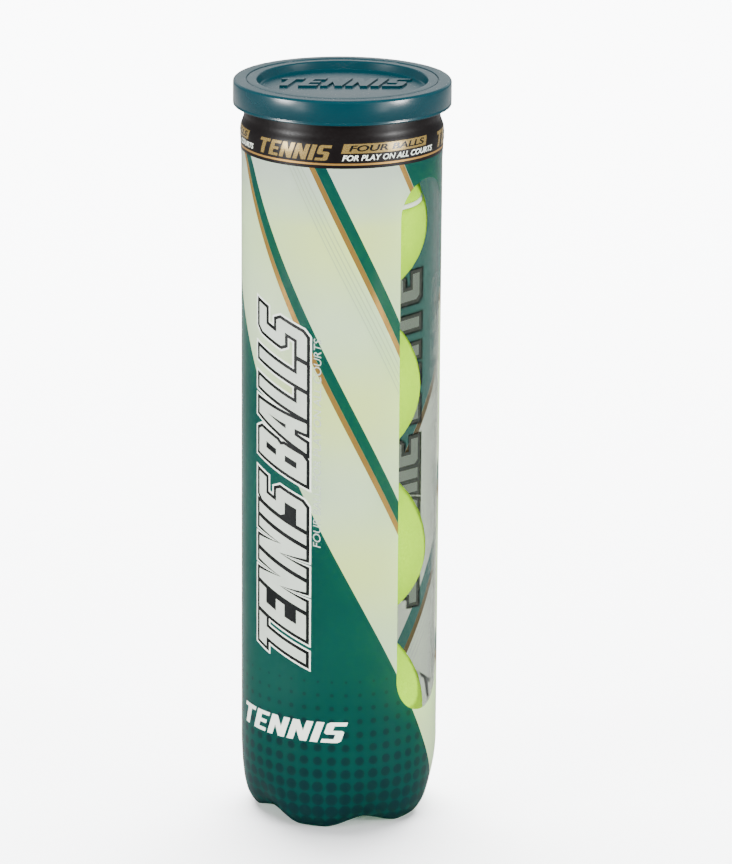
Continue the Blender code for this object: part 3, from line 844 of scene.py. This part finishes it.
path = [(35.35, PANEL), (35.45, PANEL), (35.55, PANEL - 0.4)]
path += bend((35.85, PANEL - 0.9), 0.28, 180, 360, 8)
path += [(36.2, PANEL + 0.8), (36.36, PANEL + 4.4)]
path += bend((37.13, seam_top - 0.95), 0.8, 172, 92, 8)
path += bend((38.6, seam_top - 0.95), 0.8, 88, 0, 8)
path += [(39.41, seam_top - 2.4)]
path += bend((39.12, seam_top - 2.65), 0.28, -5, -120, 6)
bm = turned(sheet_section(path, END_SHEET))
finish_piece("seam_rim", bm, "can", ["end_seam_ring"], [aluminium])


def uneven(nodes, links, shader, size, colours, gloss, colour_by="Clouds", gloss_by="Fine"):
    """Lets a shader's colour and roughness wander, each between two values."""
    worn = add_wear(nodes, size)
    links.new(colour_mix(nodes, links, worn.outputs[colour_by], *colours),
              shader.inputs["Base Color"])
    links.new(spread(nodes, links, worn.outputs[gloss_by], *gloss), shader.inputs["Roughness"])
    return worn


# The sealing compound stays as the frame has it, in a dull grey that is a little uneven.
compound, nodes, links, shader, _ = shader_material("sealing_compound")
uneven(nodes, links, shader, 120, COMPOUND_GREYS, (0.6, 0.9))
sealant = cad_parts["seam_sealant"]
sealant.data.materials.clear()
sealant.data.materials.append(compound)


# ------------------------------------------------------------------ tear panel
# The disc inside the score line. It is pressed with a finger well, two stiffening rings and a
# bead near the edge, and its own metal is drawn up into the rivet that holds the tab.
HINGE_Y = 32.7
RIVET_BACK = 6.0
path = [(0, PANEL - 0.6), (18.6, PANEL - 0.6)]
path += bend((18.9, PANEL - 0.3), 0.3, 270, 330, 3) + bend((19.7, PANEL - 0.3), 0.35, 150, 90, 3)
path += [(22.2, PANEL + 0.05)] + bend((23.0, PANEL - 0.1), 0.35, 130, 50, 4)
path += [(24.4, PANEL - 0.02), (32.3, PANEL)]
path += bend((33.8, PANEL + 0.75), 1.15, 245, 295, 6) + [(34.6, PANEL), (35.05, PANEL)]
bm = turned(sheet_section(path, END_SHEET))
rivet = turned([
    (0, PANEL - 0.1), (2.6, PANEL - 0.1), (2.3, PANEL + 0.2), (1.7, PANEL + 0.35),
    (1.6, PANEL + 0.9), (1.7, PANEL + 1.2), (2.7, PANEL + 1.22), (2.9, PANEL + 1.35),
    (2.85, PANEL + 1.55), (2.55, PANEL + 1.7), (1.6, PANEL + 1.76), (1.35, PANEL + 1.6),
    (0, PANEL + 1.55),
], 48)
bmesh.ops.translate(rivet, verts=rivet.verts, vec=(0, (HINGE_Y - RIVET_BACK) * MM, 0))
finish_piece("rivet", rivet, "end_panel", [], [aluminium])
finish_piece("panel_sheet", bm, "end_panel", ["tear_panel"], [aluminium])


# ------------------------------------------------------------------ pull tab
# A lever stamped from thicker sheet with its edges curled under. Its nose presses on the score
# when the ring end is lifted. A tongue cut free inside it stays flat under the rivet's head.
TAB_HEIGHT = PANEL + 1.35
TAB_THICKNESS = 1.5


def plate_mesh(outlines, thickness, edge, smooth=5):
    """A plate with round edges, from its rim and then its holes, in millimetres."""
    curve = bpy.data.curves.new("plate", "CURVE")
    curve.dimensions, curve.fill_mode = "2D", "BOTH"
    curve.extrude = thickness / 2 - edge
    curve.bevel_depth = edge
    curve.bevel_resolution = smooth
    for outline in outlines:
        spline = curve.splines.new("POLY")
        spline.points.add(len(outline) - 1)
        for point, (x, y) in zip(spline.points, outline):
            point.co = (x, y, 0, 1)
        spline.use_cyclic_u = True
    obj = bpy.data.objects.new("plate", curve)
    bpy.context.scene.collection.objects.link(obj)
    bpy.context.view_layer.update()
    bm = mesh_of(obj)
    bmesh.ops.remove_doubles(bm, verts=bm.verts, dist=0.001)
    bmesh.ops.recalc_face_normals(bm, faces=bm.faces)
    return bm


def round_box(x, low, high, radius):
    """The outline of a box from -x to x and low to high, with round corners."""
    outline = []
    for cx, cy, start in ((x, high, 0), (-x, high, 90), (-x, low, 180), (x, low, 270)):
        inner = (cx - math.copysign(radius, cx), cy - radius if cy == high else cy + radius)
        outline += bend(inner, radius, start, start + 90, 6)
    return outline


EDGE = 0.6
nose_y, ring_y = -6.2, -15.6
nose_radius, ring_radius = 7.0 - EDGE, 9.6 - EDGE
lean = math.degrees(math.asin((ring_radius - nose_radius) / (nose_y - ring_y)))
rim = bend((0, nose_y), nose_radius, lean, 180 - lean, 32)
rim += bend((0, ring_y), ring_radius, 180 - lean, 360 + lean, 48)
hole = bend((0, -16.9), 5.3 + EDGE, 0, 360, 48)[:-1]
window_cut = round_box(4.5, -10.1, -1.9, 1.6)
bm = plate_mesh([rim, hole, window_cut], TAB_THICKNESS, EDGE)
bmesh.ops.scale(bm, verts=bm.verts, vec=(MM, MM, MM))
bmesh.ops.translate(bm, verts=bm.verts, vec=(0, HINGE_Y * MM, TAB_HEIGHT * MM))
finish_piece("tab_lever", bm, "pull_tab", ["pull_tab"], [aluminium])

bm = plate_mesh([round_box(3.2, -8.6, -3.2, 1.2),
                 bend((0, -RIVET_BACK), 2.0, 0, 360, 32)[:-1]], 0.4, 0.12, 3)
bmesh.ops.scale(bm, verts=bm.verts, vec=(MM, MM, MM))
tongue_low, tongue_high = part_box("tab_tongue")
bmesh.ops.translate(bm, verts=bm.verts,
                    vec=(0, HINGE_Y * MM, (tongue_low.z + tongue_high.z) / 2))
finish_piece("tongue", bm, "end_panel", ["tab_tongue"], [aluminium])


# ------------------------------------------------------------------ overcap
# An injection-moulded lid in soft glossy plastic. It snaps over the seam, and its top has a
# rounded rim, a fine groove, and a recessed middle with raised letters.
cap_low, cap_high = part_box("overcap")
CAP_TOP = cap_high.z / MM
CAP_BOTTOM = cap_low.z / MM
CAP_RADIUS = cap_high.x / MM
CAP_TEALS = (0.0003, 0.022, 0.030), (0.0003, 0.026, 0.035)

teal, nodes, links, shader, _ = shader_material("teal_plastic")
worn = uneven(nodes, links, shader, 45, CAP_TEALS, (0.20, 0.28), gloss_by="Clouds")
shader.inputs["Specular IOR Level"].default_value = 0.5
add_bump(nodes, links, shader, worn.outputs["Fine"], 0.1, 0.05)

FLOOR = CAP_TOP - 3.4  # of the recess
LETTER_RISE, LETTER_ROOT = 0.7, 0.2  # above the recess's floor, and down into it
LETTERS_BACK = 6.0
section = [(0, FLOOR), (31.6, FLOOR)] + bend((31.6, FLOOR + 0.6), 0.6, 270, 340, 5)
section += bend((33.6, CAP_TOP - 0.85), 0.7, 165, 90, 6)
section += [(36.6, CAP_TOP - 0.15)] + bend((36.6, CAP_TOP - 0.35), 0.2, 90, 0, 3)
section += [(36.85, CAP_TOP - 0.55), (37.05, CAP_TOP - 0.55)]
section += bend((37.35, CAP_TOP - 0.25), 0.25, 180, 90, 3)
section += bend((CAP_RADIUS - 1.1, CAP_TOP - 1.1), 1.1, 90, 0, 10)
section += [(CAP_RADIUS, CAP_BOTTOM + 1.4), (CAP_RADIUS - 0.12, CAP_BOTTOM + 1.25)]
section += [(CAP_RADIUS - 0.12, CAP_BOTTOM + 1.05), (CAP_RADIUS, CAP_BOTTOM + 0.9)]
section += bend((CAP_RADIUS - 0.4, CAP_BOTTOM + 0.4), 0.4, 0, -90, 6)
section += bend((CAP_RADIUS - 1.15, CAP_BOTTOM + 0.35), 0.35, 270, 180, 4)
section += [(CAP_RADIUS - 1.5, CAP_TOP - 6.5)]
section += bend((CAP_RADIUS - 1.5, CAP_TOP - 5.65), 0.8, 270, 90, 12)
section += [(CAP_RADIUS - 1.5, CAP_TOP - 1.5), (35.0, CAP_TOP - 1.5), (33.5, FLOOR - 1.2)]
section += [(0, FLOOR - 1.2)]
finish_piece("cap_shell", turned(section, 200), "overcap", ["overcap"], [teal])

bm = block_word("TENNIS", 14.0, 54.0, 0.30)
for v in bm.verts:
    v.co.z = FLOOR + (LETTER_RISE if v.co.z > 0 else -LETTER_ROOT)
    v.co.y += LETTERS_BACK
bmesh.ops.recalc_face_normals(bm, faces=bm.faces)
bmesh.ops.scale(bm, verts=bm.verts, vec=(MM, MM, MM))
finish_piece("cap_letters", bm, "overcap", [], [teal], sharp=30)


# ------------------------------------------------------------------ tennis balls
# Two rubber half shells are cemented into a hollow core. Two dog-bone panels of napped felt
# cover it, and the white cement between them shows as the seam.
BALL_RADIUS = 33.0
SEAM_HALF = 0.9
SEAM_SWING = 0.25  # how far the seam swings from side to side. At 0 it would be a plain circle.
SPINE_REACH = math.radians(98)
NAP_ROOM, NAP_DEPTH = 0.12, 0.10  # the felt's middle lies inside the ball's size, with its nap
AROUND = 320
# Where each ball lies, from the lowest up: sideways lean, then turn about X, Y and Z
BALL_LEANS = [(0.6, -0.9), (1.1, 1.0), (-1.7, -0.3), (0.4, 0.8)]
BALL_TURNS = [(66, -42, -103), (73, 42, 48), (46, -46, -88), (-86, 73, -42)]
BALL_GAP = 0.3
FELT_GREENS = (0.31, 0.59, 0.0), (0.47, 0.76, 0.0)
CEMENT_WHITES = (0.62, 0.62, 0.50), (0.78, 0.78, 0.70)
RUBBER_BLACKS = (0.10, 0.095, 0.09), (0.15, 0.14, 0.13)


def seam_way(t):
    """The direction of the seam from the ball's middle."""
    around = 1 - SEAM_SWING
    return Vector((
        around * math.cos(t) + SEAM_SWING * math.cos(3 * t),
        around * math.sin(t) - SEAM_SWING * math.sin(3 * t),
        2 * math.sqrt(around * SEAM_SWING) * math.sin(2 * t),
    ))


def beside_seam(t, offset):
    """The direction at t, offset millimetres to one side of the seam."""
    here = seam_way(t)
    sideways = here.cross(seam_way(t + 0.001) - seam_way(t - 0.001)).normalized()
    return (here + sideways * (offset / BALL_RADIUS)).normalized()


def spine_way(t):
    """A point on the panel's middle line, which runs over the top from lobe to lobe."""
    reach = SPINE_REACH * math.cos(t + math.pi / 4)
    lobe = Vector((1, -1, 0)).normalized()
    return Vector((0, 0, 1)) * math.cos(reach) + lobe * math.sin(reach)


def mapped_grid(across, rows, place):
    """A grid bent into a closed body: place(t, row) gives each corner's point."""
    bm = bmesh.new()
    bmesh.ops.create_grid(bm, x_segments=across, y_segments=rows, size=1.0)
    xs = [v.co.x for v in bm.verts]
    ys = [v.co.y for v in bm.verts]
    left, low = min(xs), min(ys)
    wide, tall = max(xs) - left, max(ys) - low
    for v in bm.verts:
        t = (v.co.x - left) / wide * math.tau
        v.co = place(t, round((v.co.y - low) / tall * rows)) * MM
    bmesh.ops.remove_doubles(bm, verts=bm.verts, dist=0.01 * MM)
    bmesh.ops.dissolve_degenerate(bm, edges=bm.edges, dist=0.005 * MM)
    bmesh.ops.recalc_face_normals(bm, faces=bm.faces)
    return bm


# Rows over a felt panel, (share of the way from spine to seam, drop below the surface)
felt_rows = [(i / 26, 0.0) for i in range(24)]
felt_rows += [(0.925, 0.0), (0.95, 0.05), (0.97, 0.18), (0.985, 0.38), (1.0, 0.75), (1.0, 1.6)]
felt_rows += [(1.0, 2.7), (0.66, 2.7), (0.33, 2.7), (0.0, 2.7)]


def felt_place(t, row):
    """A point of a felt panel, with its nap on the outside."""
    share, below = felt_rows[row]
    way = spine_way(t).slerp(beside_seam(t, felt_side), share)
    if below > 1.5:
        return way * (BALL_RADIUS - below)
    nap = noise.noise(way * 14) * NAP_DEPTH + noise.noise(way * 60) * NAP_DEPTH
    return way * (BALL_RADIUS - below - NAP_ROOM + nap * (0.2 + 0.8 * (share > 0)))


# The panel lies on the upper side of the seam.
felt_side = SEAM_HALF + 0.1
if beside_seam(math.pi / 4, felt_side).z < beside_seam(math.pi / 4, -felt_side).z:
    felt_side = -felt_side

felt_bm = mapped_grid(AROUND, len(felt_rows) - 1, felt_place)
felt_mesh = bpy.data.meshes.new("felt_panel")
felt_bm.to_mesh(felt_mesh)
felt_bm.free()
felt_mesh.shade_smooth()

# The cement's section, (to one side of the seam, distance from the ball's middle)
seam_section = [(-0.9, 30.6), (-0.9, 32.0), (-0.6, 32.25), (0, 32.32), (0.6, 32.25), (0.9, 32.0)]
seam_section += [(0.9, 30.6), (0, 30.5), (-0.9, 30.6)]


def seam_place(t, row):
    """A point of the line of cement."""
    offset, radius = seam_section[row]
    return beside_seam(t, offset) * radius


seam_bm = mapped_grid(AROUND, len(seam_section) - 1, seam_place)
seam_mesh = bpy.data.meshes.new("seam_line")
seam_bm.to_mesh(seam_mesh)
seam_bm.free()
seam_mesh.shade_smooth()

felt, nodes, links, shader, _ = shader_material("napped_felt")
where = nodes.new("ShaderNodeTexCoord")
fibre = nodes.new("ShaderNodeTexNoise")
fibre.inputs["Scale"].default_value = 1400
fibre.inputs["Detail"].default_value = 5
fibre.inputs["Distortion"].default_value = 1.2
links.new(where.outputs["Object"], fibre.inputs["Vector"])
worn = add_wear(nodes, 70)
tone = colour_mix(nodes, links, spread(nodes, links, fibre.outputs["Fac"], 0, 1), *FELT_GREENS)
links.new(tone, shader.inputs["Base Color"])
links.new(spread(nodes, links, worn.outputs["Clouds"], 0.85, 1.0), shader.inputs["Roughness"])
shader.inputs["Sheen Weight"].default_value = 0.12
shader.inputs["Specular IOR Level"].default_value = 0.03
shader.inputs["Sheen Roughness"].default_value = 0.4
shader.inputs["Sheen Tint"].default_value = (0.8, 1.0, 0.0, 1)
add_bump(nodes, links, shader, fibre.outputs["Fac"], 0.7, 0.35)

cement, nodes, links, shader, _ = shader_material("seam_cement")
uneven(nodes, links, shader, 150, CEMENT_WHITES, (0.5, 0.75), "Fine", "Clouds")

rubber, nodes, links, shader, _ = shader_material("core_rubber")
uneven(nodes, links, shader, 110, RUBBER_BLACKS, (0.7, 0.9))


def ball_piece(name, mesh, matrix, body, replaced, made):
    """A copy of mesh set in its ball's place."""
    own = mesh.copy()
    own.name = name
    own.transform(matrix)
    own.materials.clear()
    own.materials.append(made)
    piece = bpy.data.objects.new(name, own)
    bpy.context.scene.collection.objects.link(piece)
    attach(piece, body)
    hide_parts(replaced)


height = BALL_LEVEL
for number, (lean_xy, turn) in enumerate(zip(BALL_LEANS, BALL_TURNS), start=1):
    here = Vector(lean_xy)
    if number > 1:
        height += math.sqrt((2 * BALL_RADIUS + BALL_GAP) ** 2 - (here - below).length ** 2)
    below = here
    turned_by = Euler([math.radians(a) for a in turn]).to_matrix().to_4x4()
    ball_at = Matrix.Translation(Vector((*here, height)) * MM) @ turned_by
    flipped = ball_at @ Matrix.Rotation(math.pi, 4, "X")
    body = f"ball_{number}"
    ball_piece(f"{body}_nap_a", felt_mesh, ball_at, body, f"{body}_felt_a", felt)
    ball_piece(f"{body}_nap_b", felt_mesh, flipped, body, f"{body}_felt_b", felt)
    ball_piece(f"{body}_seam_line", seam_mesh, ball_at, body, f"{body}_seam",
               cement)
    for half in ("lower", "upper"):
        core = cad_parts[f"{body}_core_{half}"]
        core.data.materials.clear()
        core.data.materials.append(rubber)
